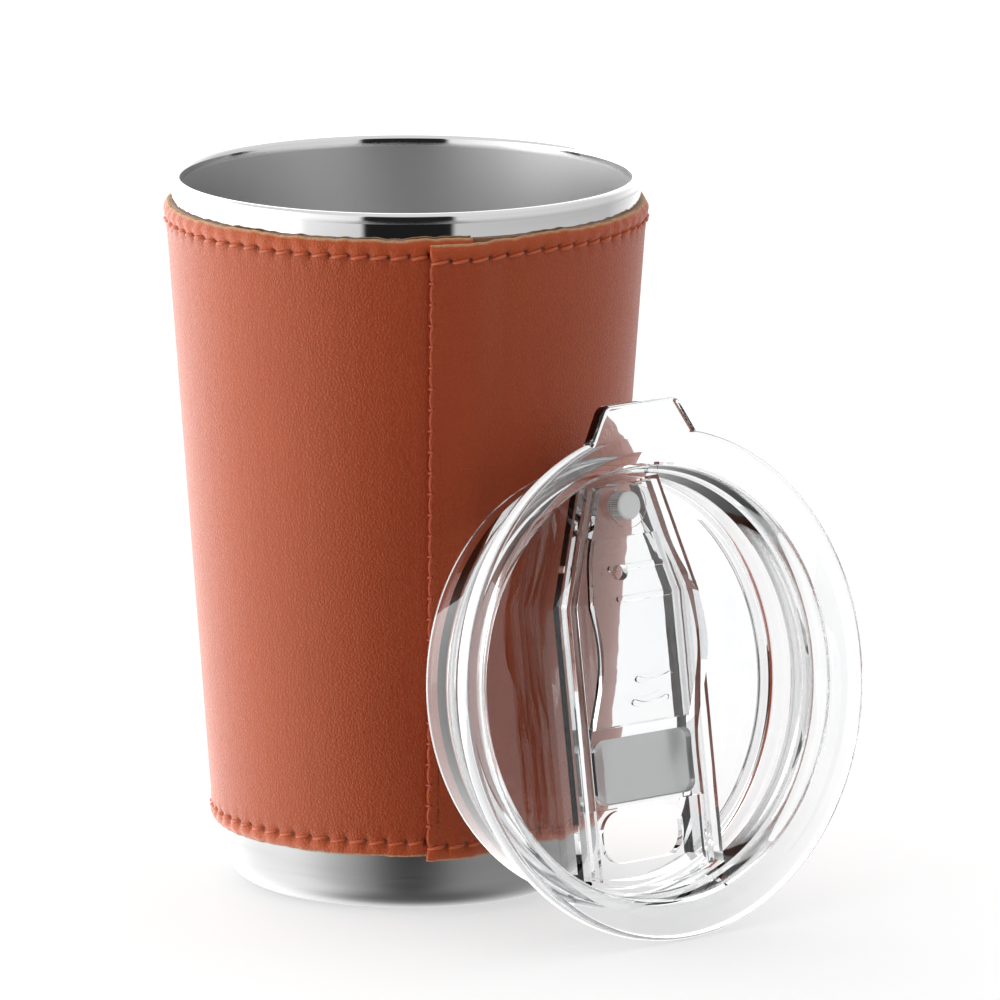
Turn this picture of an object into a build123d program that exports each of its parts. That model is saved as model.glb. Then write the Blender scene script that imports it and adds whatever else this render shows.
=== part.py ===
from build123d import *
import math
import os

# A double-walled steel tumbler in a stitched leather sleeve, with its clear sliding lid off the
# cup and leaning on its side. Millimetres, +Z up, cup axis on Z, resting on z = 0. The lid
# leans on the -Y side. Radii and heights are the cup's, except where a comment says the lid's.

# Steel cup
cup_height = 125.3
rim_radius = 41.2
foot_radius = 32.2
foot_corner = 6.5
foot_ring_inner = 23.5
lip_width = 1.7
lip_height = 1.8
lip_round = 0.8
shell_wall = 0.6
liner_wall = 0.6
liner_floor = 8.0
liner_floor_radius = 29.0
liner_corner = 7.0

# Vacuum base and what sits in the vacuum space
base_wall = 0.6
base_recess = 1.8
dimple_radius = 4.0
dimple_rise = 1.0
port_radius = 1.0
cover_thickness = 0.5
cover_gap = 0.2
getter_radius = 4.0
getter_height = 1.6
getter_offset = 12.0
foil_thickness = 0.15
foil_gap = 0.05
foil_bottom = 16.0
foil_top = 112.0

# Leather sleeve
sleeve_bottom = 10.7
sleeve_top = 120.8
glue_line = 0.05
lining_thickness = 0.4
leather_thickness = 0.85
seam_azimuth = -32.7
lap_angle = 13.0
lap_rise = 0.5

# Stitches
stitch_length = 2.7
stitch_width = 0.8
stitch_depth = 0.5
stitch_sunk = 0.25
hem_pitch = 3.5
seam_pitch = 3.8
top_stitch_inset = 3.0
bottom_stitch_inset = 2.5
seam_stitch_length = 1.9
seam_stitch_inset = 0.1

# Lid, in its own frame: z = 0 where the flange seats on the lip, +Z out, +Y towards the tab
flange_overhang = 3.1
flange_thickness = 3.0
flange_edge = 1.2
flange_face = 4.0
plug_depth = 17.0
plug_root_clearance = 0.8
plug_tip_clearance = 0.45
well_wall = 0.95
well_mouth_flare = 1.35
well_mouth_height = 0.5
well_step_height = -4.3
well_floor_draft = 0.5
well_floor_height = -12.4
well_floor_wall = 1.8
skirt_wall = 1.7
tab_reach = 4.7
tab_width = 16.0
tab_flare = 4.0
tab_round = 2.2

# Lid gasket
gasket_centre = -6.4
gasket_height = 3.9
gasket_gap = 0.1
groove_depth = 1.0
gasket_body_proud = 0.15
gasket_squeeze = 0.4
fin_height = 0.9

# Bridge across the lid's well
bridge_half_width = 14.7
bridge_wall = 1.4
bridge_top = -4.6
bridge_end_half_width = 7.9
bridge_taper_length = 21.2
rail_lip_height = 1.3
rail_lip_reach = 1.0
deck_height = -7.6
deck_thickness = 1.6
spout_width = 17.8
spout_length = 9.2
spout_to_wall = 9.5
spout_round = 4.0
vent_radius = 1.4

# Slider
open_gap = 1.5
slide_clearance = 0.3
nose_gap = 0.8
slider_flat_top = -5.0
hump_top = 0.0
nose_top = -3.6
slider_wall = 1.6
hump_share = 0.46
rib_shares = (0.77, 0.655)
rib_length = 12.0
rib_width = 1.0
rib_rise = 0.45
mark_shares = (0.33, 0.24)
mark_radius = 9.0
mark_angle = 46.0
pad_cover = 1.15
pad_side_cover = 1.9
pad_margin = 0.75
pad_round = 2.0
pad_thickness = 1.6
peg_to_nose = 3.6
peg_radius = 2.5
peg_top = -2.9
boss_wall = 1.4
boss_top = -3.3
seal_clearance = 0.1

# The lid's place beside the cup
lean = 8.6
lean_side = 6.4
lean_gap = 0.3
floor_gap = 0.1

past = 1.0
os.makedirs("parts", exist_ok=True)


def shell_radius(height):
    """Outside radius of the steel wall at a height."""
    return foot_radius + (rim_radius - foot_radius) * height / cup_height


def liner_radius(height):
    """Inside radius of the liner at a height, from the mouth down to its floor."""
    mouth = rim_radius - lip_width
    slope = (mouth - liner_floor_radius) / (cup_height - liner_floor)
    return mouth - slope * (cup_height - height)


def turned(outline, rounded=(), arc=360):
    """Solid turned about Z from (radius, height) corners. rounded holds (corner, fillet radius)."""
    face = Plane.XZ * make_face(Polyline(*outline, close=True))
    for corner, radius in rounded:
        spot = Vector(outline[corner][0], 0, outline[corner][1])
        face = fillet(face.vertices().sort_by_distance(spot)[0], radius)
    return revolve(face, Axis.Z, arc)


def block(x_range, y_range, z_range):
    """Box between two corners."""
    size = [high - low for low, high in (x_range, y_range, z_range)]
    middle = [(high + low) / 2 for low, high in (x_range, y_range, z_range)]
    return Pos(*middle) * Box(*size)


def write(name, shape):
    """One STEP for each piece."""
    shape.label = name
    export_step(shape, f"parts/{name}.step")


# ---- Steel cup -------------------------------------------------------------------------------

lip_base = cup_height - lip_height
mouth_radius = rim_radius - lip_width
wall_top = shell_radius(lip_base)

outer_shell = turned(
    [
        (wall_top, lip_base),
        (foot_radius, 0),
        (foot_ring_inner, 0),
        (foot_ring_inner, shell_wall),
        (foot_radius - shell_wall, shell_wall),
        (wall_top - shell_wall, lip_base),
    ],
    [(1, foot_corner), (4, foot_corner - shell_wall)],
)

liner_base = liner_floor - liner_wall
inner_cup = turned(
    [
        (mouth_radius, cup_height),
        (rim_radius, cup_height),
        (rim_radius, lip_base),
        (liner_radius(lip_base) + liner_wall, lip_base),
        (liner_radius(liner_base) + liner_wall, liner_base),
        (0, liner_base),
        (0, liner_floor),
        (liner_floor_radius, liner_floor),
    ],
    [(0, lip_round), (1, lip_round), (4, liner_corner + liner_wall), (7, liner_corner)],
)

base_top = base_recess + base_wall
vacuum_base = turned([
    (foot_ring_inner, 0),
    (foot_ring_inner, base_top),
    (dimple_radius + base_wall, base_top),
    (dimple_radius + base_wall, base_top + dimple_rise),
    (port_radius, base_top + dimple_rise),
    (port_radius, base_recess + dimple_rise),
    (dimple_radius, base_recess + dimple_rise),
    (dimple_radius, base_recess),
    (foot_ring_inner - base_wall, base_recess),
    (foot_ring_inner - base_wall, 0),
])

port_seal = turned([
    (0, base_top + dimple_rise),
    (port_radius, base_top + dimple_rise),
    (port_radius, base_recess + dimple_rise),
    (dimple_radius * 0.9, base_recess + dimple_rise),
    (dimple_radius * 0.6, base_recess + dimple_rise * 0.3),
    (0, base_recess + dimple_rise * 0.1),
])

cover_radius = foot_ring_inner - base_wall - cover_gap
base_cover = turned(
    [
        (0, base_recess),
        (cover_radius, base_recess),
        (cover_radius, base_recess - cover_thickness),
        (0, base_recess - cover_thickness),
    ],
    [(2, cover_thickness * 0.6)],
)

getter = Pos(getter_offset, 0, base_top + getter_height / 2) * Cylinder(getter_radius, getter_height)


def foil_radius(height, layer):
    """Foil faces lie just outside the liner. layer 0 is the inner face and 1 the outer."""
    return liner_radius(height) + liner_wall + foil_gap + layer * foil_thickness


heat_foil = turned([
    (foil_radius(foil_bottom, 0), foil_bottom),
    (foil_radius(foil_bottom, 1), foil_bottom),
    (foil_radius(foil_top, 1), foil_top),
    (foil_radius(foil_top, 0), foil_top),
])

# ---- Leather sleeve --------------------------------------------------------------------------

leather_inner = glue_line + lining_thickness
leather_outer = leather_inner + leather_thickness
seam_angle = seam_azimuth - 90
wall_lean = math.degrees(math.atan2(rim_radius - foot_radius, cup_height))


def wrap(inner, outer, arc=360):
    """Tapered layer round the steel wall, between two distances out from it."""
    low, high = shell_radius(sleeve_bottom), shell_radius(sleeve_top)
    corners = [(low + inner, sleeve_bottom), (low + outer, sleeve_bottom)]
    corners += [(high + outer, sleeve_top), (high + inner, sleeve_top)]
    return turned(corners, arc=arc)


sleeve_lining = wrap(glue_line, leather_inner)
lap = Rot(0, 0, seam_angle) * wrap(leather_outer - lap_rise, leather_outer + lap_rise, lap_angle)
leather_sleeve = wrap(leather_inner, leather_outer) + lap


def on_sleeve(angle, height, proud):
    """Plane on the sleeve's outer face: X runs round it, Y up it and Z out of it."""
    turn = math.radians(angle)
    tilt = math.radians(wall_lean)
    radius = shell_radius(height) + leather_outer + proud
    across = (-math.sin(turn), math.cos(turn), 0)
    outward = (math.cos(turn) * math.cos(tilt), math.sin(turn) * math.cos(tilt), -math.sin(tilt))
    return Plane((radius * math.cos(turn), radius * math.sin(turn), height), across, outward)



def stitch(length):
    """One stitch lying along X, sunk a little into the face it lies on."""
    return Pos(0, 0, -stitch_sunk) * extrude(SlotOverall(length, stitch_width), stitch_depth)



def hem_stitches(height):
    """Stitches round one hem, whole pitches starting beside the seam. The lap lifts a few."""
    circumference = 2 * math.pi * (shell_radius(height) + leather_outer)
    count = round(circumference / hem_pitch)
    step = 360 / count
    row = []
    for index in range(count):
        turn = (index + 0.5) * step
        proud = lap_rise if turn < lap_angle else 0
        row.append(on_sleeve(seam_angle + turn, height, proud) * stitch(stitch_length))
    return Compound(children=row)


def seam_stitches():
    """Short stitches across the lap's edge, from one hem row to the other."""
    low = sleeve_bottom + bottom_stitch_inset + seam_pitch
    high = sleeve_top - top_stitch_inset - seam_pitch
    count = round((high - low) / seam_pitch)
    row = []
    for index in range(count + 1):
        height = low + (high - low) * index / count
        radius = shell_radius(height) + leather_outer
        angle = seam_angle + math.degrees(seam_stitch_inset / radius)
        row.append(on_sleeve(angle, height, lap_rise / 2) * stitch(seam_stitch_length))
    return Compound(children=row)


top_stitching = hem_stitches(sleeve_top - top_stitch_inset)
bottom_stitching = hem_stitches(sleeve_bottom + bottom_stitch_inset)
seam_stitching = seam_stitches()

# ---- Lid body, in the lid's frame ------------------------------------------------------------

flange_radius = rim_radius + flange_overhang
plug_root_radius = mouth_radius - plug_root_clearance
plug_tip_radius = liner_radius(cup_height - plug_depth) - plug_tip_clearance


def plug_radius(height):
    """Outside radius of the lid's plug, between the seat plane and the tip."""
    return plug_root_radius + (plug_root_radius - plug_tip_radius) * height / plug_depth


groove_top = gasket_centre + gasket_height / 2 + gasket_gap
groove_base = gasket_centre - gasket_height / 2 - gasket_gap
groove_radius = plug_radius(gasket_centre) - groove_depth
well_step_radius = groove_radius - well_wall
well_floor_radius = well_step_radius - well_floor_draft
floor_under = well_floor_height - well_floor_wall
rim_and_well = turned(
    [
        (flange_radius, flange_thickness),
        (flange_radius - flange_face, flange_thickness),
        (well_step_radius + well_mouth_flare, well_mouth_height),
        (well_step_radius, well_step_height),
        (well_floor_radius, well_floor_height),
        (0, well_floor_height),
        (0, floor_under),
        (plug_tip_radius - skirt_wall, floor_under),
        (plug_tip_radius - skirt_wall, -plug_depth),
        (plug_tip_radius, -plug_depth),
        (plug_radius(groove_base), groove_base),
        (groove_radius, groove_base),
        (groove_radius, groove_top),
        (plug_radius(groove_top), groove_top),
        (plug_root_radius, 0),
        (flange_radius, 0),
    ],
    [(0, flange_edge), (1, 0.6), (2, 0.6), (4, 1.6), (9, 0.6), (15, flange_edge)],
)

tab_tip = flange_radius + tab_reach
tab_root = flange_radius - flange_edge - past
tab_half = tab_width / 2
tab_outline = [
    (-tab_half - tab_flare, tab_root),
    (-tab_half, tab_tip),
    (tab_half, tab_tip),
    (tab_half + tab_flare, tab_root),
]
tab = extrude(make_face(Polyline(*tab_outline, close=True)), flange_thickness)
tab_corners = tab.edges().filter_by(Axis.Z).group_by(Axis.Y)[-1]
tab = fillet(tab_corners, tab_round)
tab_rims = tab.edges().filter_by(Axis.Z, reverse=True)
tab = fillet([edge for edge in tab_rims if edge.center().Y > tab_root + 0.1], flange_edge * 0.6)


def bridge_plan(inset, tail, nose):
    """The bridge's outline seen from above, drawn in by an inset: straight, then tapering."""
    slope = (bridge_half_width - bridge_end_half_width) / bridge_taper_length
    taper_start = well_floor_radius - bridge_taper_length
    wide = bridge_half_width - inset
    narrow = wide - slope * (nose - taper_start)
    right = [(wide, tail), (wide, taper_start), (narrow, nose)]
    left = [(-x, y) for x, y in reversed(right)]
    return make_face(Polyline(*right, *left, close=True))


def raised(plan, low, high):
    """The plan carried from one height to another."""
    return Pos(0, 0, low) * extrude(plan, high - low)


def drum(radius, shift=0):
    """Upright cylinder that clips pieces to the well's round wall."""
    return Pos(0, shift, 0) * Cylinder(radius, 4 * plug_depth)


well_reach = well_step_radius + 0.4
channel_reach = well_floor_radius - 0.5
hollow_reach = well_floor_radius - 1.5
deck_under = deck_height - deck_thickness
rail_under = bridge_top - rail_lip_height
lip_inset = bridge_wall + rail_lip_reach

bridge = raised(bridge_plan(0, -well_reach, well_reach), floor_under, bridge_top) & drum(well_reach)
channel = raised(bridge_plan(bridge_wall, -well_reach, well_reach), deck_height, rail_under)
slot = raised(bridge_plan(lip_inset, -well_reach, well_reach), rail_under, bridge_top + past)
slideway = (channel + slot) & drum(channel_reach)
hollow = raised(bridge_plan(bridge_wall, -well_reach, well_reach), -2 * plug_depth, deck_under)
hollow = hollow & drum(hollow_reach)

spout_place = spout_to_wall - well_floor_radius
spout_plan = Pos(0, spout_place) * RectangleRounded(spout_width, spout_length, spout_round)
spout = raised(spout_plan, deck_under - past, deck_height + past)
pad_length = spout_length + 2 * pad_cover
slide_travel = (spout_length + pad_length) / 2 + open_gap
slider_nose = channel_reach - nose_gap
peg_place = slider_nose - peg_to_nose
vent_place = peg_place - slide_travel
vent = Pos(0, vent_place, deck_height) * Cylinder(vent_radius, 3 * deck_thickness)
lid_body = rim_and_well + tab + bridge - slideway - hollow - spout - vent

# ---- Lid gasket ------------------------------------------------------------------------------

fin_radius = liner_radius(cup_height + gasket_centre) + gasket_squeeze
body_radius = plug_radius(gasket_centre) + gasket_body_proud
gasket_top = gasket_centre + gasket_height / 2
gasket_base = gasket_centre - gasket_height / 2
lid_gasket = turned([
    (groove_radius, gasket_top),
    (body_radius, gasket_top),
    (fin_radius, gasket_top - fin_height * 0.4),
    (fin_radius, gasket_top - fin_height * 0.8),
    (body_radius, gasket_top - fin_height * 1.4),
    (body_radius, gasket_base + fin_height * 1.4),
    (fin_radius, gasket_base + fin_height * 0.8),
    (fin_radius, gasket_base + fin_height * 0.4),
    (body_radius, gasket_base),
    (groove_radius, gasket_base),
])

# ---- Slider and its seals, in the lid's frame, in the open place -----------------------------

pad_place = spout_place + slide_travel
pad_width = spout_width + 2 * pad_side_cover
slider_tail = pad_place - pad_length / 2 - pad_margin
cavity_tail = pad_place + pad_length / 2 + pad_round
cavity_nose = peg_place - peg_radius - 2 * boss_wall
slider_base = deck_height + slide_clearance
tongue_top = rail_under - slide_clearance
side_inset = lip_inset + slide_clearance


def along(share):
    """Place on the slider at a share of the way from its pad to its peg."""
    return pad_place + share * (peg_place - pad_place)


crest = Spline(
    (slider_tail, slider_flat_top),
    (along(0.1), slider_flat_top),
    (along(hump_share), hump_top),
    (along(0.8), nose_top),
    (slider_nose, nose_top),
    tangents=[(1, 0), (1, 0)],
)


def under_crest(drop, tail, nose, half_width):
    """Body from below the slider up to its crest line less a drop, between two places."""
    top = Pos(0, -drop) * crest
    low = slider_base - past
    ends = [(slider_nose, nose_top - drop), (slider_nose, low), (slider_tail, low)]
    ends.append((slider_tail, slider_flat_top - drop))
    side = make_face(Curve() + [top, Polyline(*ends)])
    body = extrude(Plane.YZ * side, half_width, both=True)
    return body & block((-half_width, half_width), (tail, nose), (low, hump_top + past))


upper = raised(bridge_plan(side_inset, slider_tail, slider_nose), slider_base, hump_top + past)
upper = upper & under_crest(0, slider_tail, slider_nose, bridge_half_width)
tongue_plan = bridge_plan(bridge_wall + slide_clearance, slider_tail, slider_nose)
tongues = raised(tongue_plan, slider_base, tongue_top)
closed_reach = channel_reach - slide_clearance
slider = (upper + tongues) & drum(closed_reach) & drum(closed_reach, slide_travel)

cavity_half = bridge_half_width - side_inset - slider_wall
cavity_plan = bridge_plan(side_inset + slider_wall, cavity_tail, cavity_nose)
cavity = raised(cavity_plan, slider_base - past, hump_top)
cavity = cavity & under_crest(slider_wall, cavity_tail, cavity_nose, cavity_half)

for share in rib_shares:
    rib_plan = Pos(0, along(share)) * SlotOverall(rib_length, rib_width)
    rib_stock = raised(rib_plan, slider_flat_top - slider_wall, hump_top + past)
    slider += rib_stock & under_crest(-rib_rise, slider_tail, slider_nose, rib_length)
for share in mark_shares:
    mark_arc = CenterArc((0, along(share) + mark_radius), mark_radius, 270 - mark_angle / 2, mark_angle)
    mark_plan = SlotArc(mark_arc, rib_width)
    mark_stock = raised(mark_plan, slider_flat_top - slider_wall, hump_top + past)
    slider += mark_stock & under_crest(-rib_rise, slider_tail, slider_nose, rib_length)

boss_height = boss_top - slider_base
boss = Pos(0, peg_place, slider_base + boss_height / 2) * Cylinder(peg_radius + boss_wall, boss_height)
slider = slider - cavity + (boss & drum(closed_reach))

seal_base = deck_height + seal_clearance
pad_plan = Pos(0, pad_place) * RectangleRounded(pad_width, pad_length, pad_round)
spout_seal = raised(pad_plan, seal_base, seal_base + pad_thickness)
peg_height = peg_top - seal_base
vent_seal = Pos(0, peg_place, seal_base + peg_height / 2) * Cylinder(peg_radius, peg_height)
vent_seal = fillet(vent_seal.edges().group_by(Axis.Z)[-1], 0.5)
pad_pocket = raised(pad_plan, slider_base - past, seal_base + pad_thickness)
peg_hole = Pos(0, peg_place, 0) * Cylinder(peg_radius, 4 * plug_depth)
slider = slider - pad_pocket - peg_hole

# ---- The lid stands on its flange and its plug's tip leans on the sleeve ----------------------

tilt = math.radians(lean)
lid_up = (flange_radius - flange_edge) * math.cos(tilt) + flange_edge * (1 - math.sin(tilt))
lid_up += floor_gap
tip_rise = math.sqrt(plug_tip_radius**2 - lean_side**2)
touch = lid_up + tip_rise * math.cos(tilt) - plug_depth * math.sin(tilt)
sleeve_face = shell_radius(touch) + leather_outer
lid_out = sleeve_face + lean_gap + tip_rise * math.sin(tilt) + plug_depth * math.cos(tilt)
leaning = Pos(lean_side, -lid_out, lid_up) * Rot(90 - lean, 0, 0)

cup_pieces = {
    "outer_shell": outer_shell,
    "inner_cup": inner_cup,
    "vacuum_base": vacuum_base,
    "port_seal": port_seal,
    "base_cover": base_cover,
    "getter": getter,
    "heat_foil": heat_foil,
    "sleeve_lining": sleeve_lining,
    "leather_sleeve": leather_sleeve,
    "top_stitching": top_stitching,
    "bottom_stitching": bottom_stitching,
    "seam_stitching": seam_stitching,
}
lid_pieces = {
    "lid_body": lid_body,
    "lid_gasket": lid_gasket,
    "slider": slider,
    "spout_seal": spout_seal,
    "vent_seal": vent_seal,
}
for name, piece in cup_pieces.items():
    write(name, piece)
for name, piece in lid_pieces.items():
    write(name, leaning * piece)

print("lid origin", lean_side, round(-lid_out, 3), round(lid_up, 3), "slider travel", slide_travel)
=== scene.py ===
import math

import bmesh
import bpy
import numpy as np
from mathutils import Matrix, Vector


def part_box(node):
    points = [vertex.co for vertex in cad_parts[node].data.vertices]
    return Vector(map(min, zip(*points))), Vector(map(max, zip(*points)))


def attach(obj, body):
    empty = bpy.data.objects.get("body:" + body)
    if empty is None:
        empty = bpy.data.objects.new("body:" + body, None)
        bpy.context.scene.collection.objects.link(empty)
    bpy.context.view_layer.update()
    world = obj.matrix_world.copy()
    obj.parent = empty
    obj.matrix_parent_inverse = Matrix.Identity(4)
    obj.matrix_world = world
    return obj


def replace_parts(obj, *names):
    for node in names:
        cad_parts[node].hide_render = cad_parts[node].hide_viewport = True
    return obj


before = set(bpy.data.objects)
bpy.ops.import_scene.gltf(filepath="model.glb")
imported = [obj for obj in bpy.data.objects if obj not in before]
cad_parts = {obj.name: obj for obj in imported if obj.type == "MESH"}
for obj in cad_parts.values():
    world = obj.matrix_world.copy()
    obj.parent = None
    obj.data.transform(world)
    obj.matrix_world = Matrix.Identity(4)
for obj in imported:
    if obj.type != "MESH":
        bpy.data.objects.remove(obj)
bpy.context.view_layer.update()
MM = 0.001

# Camera. A long lens looks down a little on the cup from its left front, so that the leaning
# lid shows its face at the right. It aims beside the cup's axis, at half its height.
camera_azimuth = math.radians(-38.6)
camera_drop = math.radians(11.36)
camera_distance = 2121 * MM
aim_height, aim_aside = 67.1 * MM, 16.4 * MM
toward_camera = Vector((math.sin(camera_azimuth), -math.cos(camera_azimuth), 0))
camera_right = Vector((math.cos(camera_azimuth), math.sin(camera_azimuth), 0))
back = toward_camera * math.cos(camera_drop) + Vector((0, 0, math.sin(camera_drop)))
lens = bpy.data.cameras.new("camera")
focal_length, film_width, nearest, furthest = 434.8, 36, 0.05, 50
lens.lens, lens.sensor_width = focal_length, film_width
lens.clip_start, lens.clip_end = nearest, furthest
camera = bpy.data.objects.new("camera", lens)
aim = camera_right * aim_aside + Vector((0, 0, aim_height))
camera.location = aim + back * camera_distance
camera.rotation_euler = (-back).to_track_quat("-Z", "Y").to_euler()
bpy.context.scene.collection.objects.link(camera)
bpy.context.scene.camera = camera


# Studio. The cup stands on a large pale floor in a tent of soft light: wide bright panels on
# its left, a greyer one on its right, a dark gap where the camera looks in, and a grey top.
def node(tree, kind, inputs=(), **settings):
    """Adds a shader node, sets its properties, and sets inputs given as (name or number, value)."""
    made = tree.nodes.new(kind)
    for key, value in settings.items():
        setattr(made, key, value)
    for key, value in inputs:
        if isinstance(value, bpy.types.NodeSocket):
            tree.links.new(value, made.inputs[key])
        else:
            made.inputs[key].default_value = value
    return made


def maths(tree, operation, *values):
    """Adds a Math node and gives its output."""
    return node(tree, "ShaderNodeMath", enumerate(values), operation=operation).outputs[0]


def blend(tree, factor, low, high):
    """Mixes two colours by a factor and gives the colour."""
    made = node(tree, "ShaderNodeMix", data_type="RGBA")
    factor_in, low_in, high_in = made.inputs[0], made.inputs[6], made.inputs[7]
    for socket, value in ((factor_in, factor), (low_in, low), (high_in, high)):
        if isinstance(value, bpy.types.NodeSocket):
            tree.links.new(value, socket)
        else:
            socket.default_value = value
    return made.outputs[2]


def ramp(tree, factor, stops, interpolation="LINEAR"):
    """Adds a Color Ramp with (position, grey or colour) stops and gives its colour."""
    made = node(tree, "ShaderNodeValToRGB", [("Fac", factor)])
    made.color_ramp.interpolation = interpolation
    elements = made.color_ramp.elements
    while len(elements) < len(stops):
        elements.new(1.0)
    for element, (position, shade) in zip(elements, stops):
        element.position = position
        colour = (shade, shade, shade) if isinstance(shade, (int, float)) else shade
        element.color = (*colour, 1)
    return made.outputs["Color"]


floor_reach, floor_grey, floor_glow = 8.0, 0.42, 0.57
floor_mesh = bpy.data.meshes.new("floor")
corners = [(-1, -1), (1, -1), (1, 1), (-1, 1)]
floor_points = [(x * floor_reach, y * floor_reach, 0) for x, y in corners]
floor_mesh.from_pydata(floor_points, [], [(0, 1, 2, 3)])
floor = bpy.data.objects.new("floor", floor_mesh)
floor.visible_glossy = floor.visible_diffuse = False
bpy.context.scene.collection.objects.link(floor)
paper = bpy.data.materials.new("floor_paper")
paper.use_nodes = True
paper_shader = paper.node_tree.nodes["Principled BSDF"]
paper_shader.inputs["Base Color"].default_value = (floor_grey, floor_grey, floor_grey, 1)
paper_shader.inputs["Roughness"].default_value = 0.9
paper_shader.inputs["Emission Color"].default_value = (1, 1, 1, 1)
paper_shader.inputs["Emission Strength"].default_value = floor_glow
floor_mesh.materials.append(paper)

world = bpy.data.worlds.new("light_tent")
world.use_nodes = True
tree = world.node_tree
tree.nodes.clear()
direction = node(tree, "ShaderNodeTexCoord").outputs["Generated"]
front, side = (
    node(tree, "ShaderNodeVectorMath", [(0, direction), (1, axis)],
         operation="DOT_PRODUCT").outputs["Value"]
    for axis in (toward_camera, camera_right))
turn_share = maths(tree, "MULTIPLY_ADD", maths(tree, "ARCTAN2", side, front), 0.5 / math.pi, 0.5)
# Each panel's edge: degrees round from the camera, under 0 on its left, and the brightness there.
panels = [(-180, 0.50), (-160, 1.0), (-125, 1.0), (-112, 0.80), (-68, 0.80), (-50, 0.36),
          (-22, 0.27), (-20, 0.005), (23, 0.005), (25, 0.23), (120, 0.21), (150, 0.36), (180, 0.46)]
top_grey, under_grey, tent_strength = (0.24, 0.24, 0.24, 1), (0.05, 0.05, 0.05, 1), 3.6
tent = ramp(tree, turn_share, [(degrees / 360 + 0.5, shade) for degrees, shade in panels])
height = node(tree, "ShaderNodeSeparateXYZ", [(0, direction)]).outputs["Z"]
overhead = ramp(tree, height, [(0.40, 0.0), (0.72, 1.0)], "EASE")
depth = maths(tree, "MULTIPLY", height, -1.0)
underneath = ramp(tree, depth, [(0.80, 0.0), (0.97, 1.0)], "EASE")
side_light = blend(tree, underneath, tent, under_grey)
lit_colour = blend(tree, overhead, side_light, top_grey)
tent_light = node(tree, "ShaderNodeBackground",
                  [("Color", lit_colour), ("Strength", tent_strength)])
backdrop = node(tree, "ShaderNodeBackground", [("Color", (1, 1, 1, 1)), ("Strength", 1.0)])
seen = node(tree, "ShaderNodeLightPath").outputs["Is Camera Ray"]
both = node(tree, "ShaderNodeMixShader",
            [(0, seen), (1, tent_light.outputs[0]), (2, backdrop.outputs[0])])
node(tree, "ShaderNodeOutputWorld", [("Surface", both.outputs[0])])
bpy.context.scene.world = world
bpy.context.scene.view_settings.view_transform = "Standard"


# Steel. The shell, liner, base disc and its cover are drawn stainless sheet. The shell is
# brushed round the cup, the liner is blasted to a satin inside, and the rolled lip is polished.
def group(name, inputs, outputs):
    """Starts a shader group with number inputs (name, default) and number outputs."""
    tree = bpy.data.node_groups.new(name, "ShaderNodeTree")
    for label, default in inputs:
        socket = tree.interface.new_socket(label, in_out="INPUT", socket_type="NodeSocketFloat")
        socket.default_value = default
    for label in outputs:
        tree.interface.new_socket(label, in_out="OUTPUT", socket_type="NodeSocketFloat")
    given, result = tree.nodes.new("NodeGroupInput"), tree.nodes.new("NodeGroupOutput")
    return tree, given.outputs, result.inputs


def brushing_group():
    """Fine lines round the Z axis: noise that changes fast with height and slowly round the cup."""
    tree, given, result = group(
        "brushing", [("Lines", 2600.0), ("Length", 26.0)], ["Height", "Streak"])
    place = node(tree, "ShaderNodeTexCoord").outputs["Object"]
    parts = node(tree, "ShaderNodeSeparateXYZ", [(0, place)]).outputs
    x = maths(tree, "MULTIPLY", parts["X"], given["Length"])
    y = maths(tree, "MULTIPLY", parts["Y"], given["Length"])
    z = maths(tree, "MULTIPLY", parts["Z"], given["Lines"])
    stretched = node(tree, "ShaderNodeCombineXYZ", [("X", x), ("Y", y), ("Z", z)]).outputs[0]
    fine = node(tree, "ShaderNodeTexNoise",
                [("Vector", stretched), ("Scale", 1.0), ("Detail", 3.0)])
    broad = maths(tree, "MULTIPLY", parts["Z"], maths(tree, "MULTIPLY", given["Lines"], 0.12))
    wide = node(tree, "ShaderNodeCombineXYZ", [("X", x), ("Y", y), ("Z", broad)]).outputs[0]
    coarse = node(tree, "ShaderNodeTexNoise", [("Vector", wide), ("Scale", 1.0), ("Detail", 2.0)])
    tree.links.new(fine.outputs["Fac"], result["Height"])
    tree.links.new(coarse.outputs["Fac"], result["Streak"])
    return tree


def speckle_group():
    """Fine even grain: two sizes of noise, for blasted metal, moulded plastic and silicone."""
    tree, given, result = group(
        "speckle", [("Grain", 4000.0), ("Cloud", 60.0)], ["Height", "Cloud"])
    place = node(tree, "ShaderNodeTexCoord").outputs["Object"]
    fine = node(tree, "ShaderNodeTexNoise",
                [("Vector", place), ("Scale", given["Grain"]), ("Detail", 2.0)])
    cloud = node(tree, "ShaderNodeTexNoise",
                 [("Vector", place), ("Scale", given["Cloud"]), ("Detail", 3.0)])
    tree.links.new(fine.outputs["Fac"], result["Height"])
    tree.links.new(cloud.outputs["Fac"], result["Cloud"])
    return tree


brushing, speckle = brushing_group(), speckle_group()


def material(name, values):
    """Starts a Principled material with plain values and gives it, its tree and its shader."""
    made = bpy.data.materials.new(name)
    made.use_nodes = True
    shader = made.node_tree.nodes["Principled BSDF"]
    for key, value in values:
        shader.inputs[key].default_value = value
    return made, made.node_tree, shader


def effect(tree, shader_group, **values):
    """Places a shader group with its own values and gives its outputs."""
    made = tree.nodes.new("ShaderNodeGroup")
    made.node_tree = shader_group
    for key, value in values.items():
        made.inputs[key].default_value = value
    return made.outputs


def bumped(tree, shader, height, distance, strength=1.0):
    """Feeds a height to the shader's normal as a bump of that depth in metres."""
    bump = node(tree, "ShaderNodeBump",
                [("Height", height), ("Distance", distance), ("Strength", strength)])
    tree.links.new(bump.outputs[0], shader.inputs["Normal"])


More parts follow.
